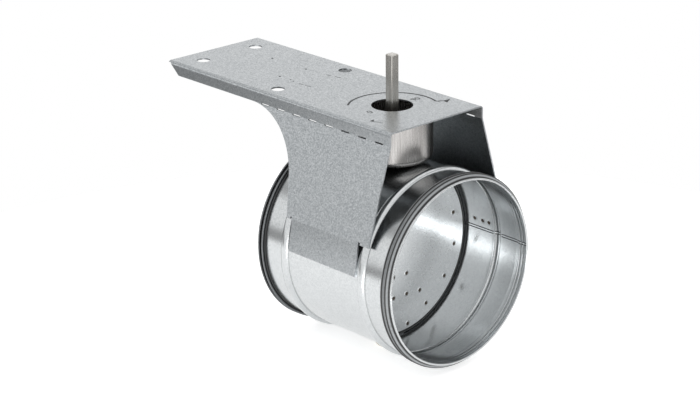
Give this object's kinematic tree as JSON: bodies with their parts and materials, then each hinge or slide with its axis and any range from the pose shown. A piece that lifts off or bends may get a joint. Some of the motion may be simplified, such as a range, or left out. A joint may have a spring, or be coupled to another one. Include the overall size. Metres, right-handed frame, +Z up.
{
  "type": "shut-off damper",
  "caption": "Round duct shut-off damper: gasketed blade on a square spindle inside a beaded casing, with a stand-off cup and a long motor shelf above.",
  "frame": {"origin": "where the duct axis and the spindle axis cross, in the middle of the casing", "axes": "+X along the duct axis, out of the end away from the motor shelf's overhang; +Z up along the spindle, towards the motor; +Y completes the right-handed set"},
  "size_m": [0.3125, 0.1662, 0.2571],
  "materials": {
    "zinc_sheet": "galvanised, satin",
    "bracket_zinc": "galvanised, spangled",
    "blade_steel": "satin",
    "spindle_steel": "zinc plated",
    "cup_aluminium": "drawn, brushed",
    "grey_rubber": "matt",
    "black_rubber": "matt",
    "bearing_plastic": "matt",
    "washer_plastic": "matt",
    "clip_steel": "spring steel"
  },
  "bodies": {
    "casing": {"duct_casing": "zinc_sheet", "front_duct_gasket": "grey_rubber", "rear_duct_gasket": "grey_rubber", "motor_bracket": "bracket_zinc", "standoff_cup": "cup_aluminium", "upper_bearing_bush": "bearing_plastic", "upper_bush_seal": "black_rubber", "upper_shaft_seal": "black_rubber", "lower_bearing_bush": "bearing_plastic", "lower_bush_seal": "black_rubber", "lower_bearing_cap": "bearing_plastic"},
    "blade": {"square_spindle": "spindle_steel", "front_blade_disc": "blade_steel", "rear_blade_disc": "blade_steel", "blade_gasket": "black_rubber", "upper_spindle_saddle": "blade_steel", "lower_spindle_saddle": "blade_steel", "upper_spindle_sleeve": "bearing_plastic", "lower_spindle_sleeve": "bearing_plastic", "upper_thrust_washer": "washer_plastic", "lower_thrust_washer": "washer_plastic", "upper_retaining_clip": "clip_steel", "lower_retaining_clip": "clip_steel"}
  },
  "joints": [
    {"name": "blade_turn", "type": "hinge", "parent": "casing", "child": "blade", "pos_m": [0, 0, 0], "axis": [0, 0, -1], "range_deg": [0, 90]}
  ]
}
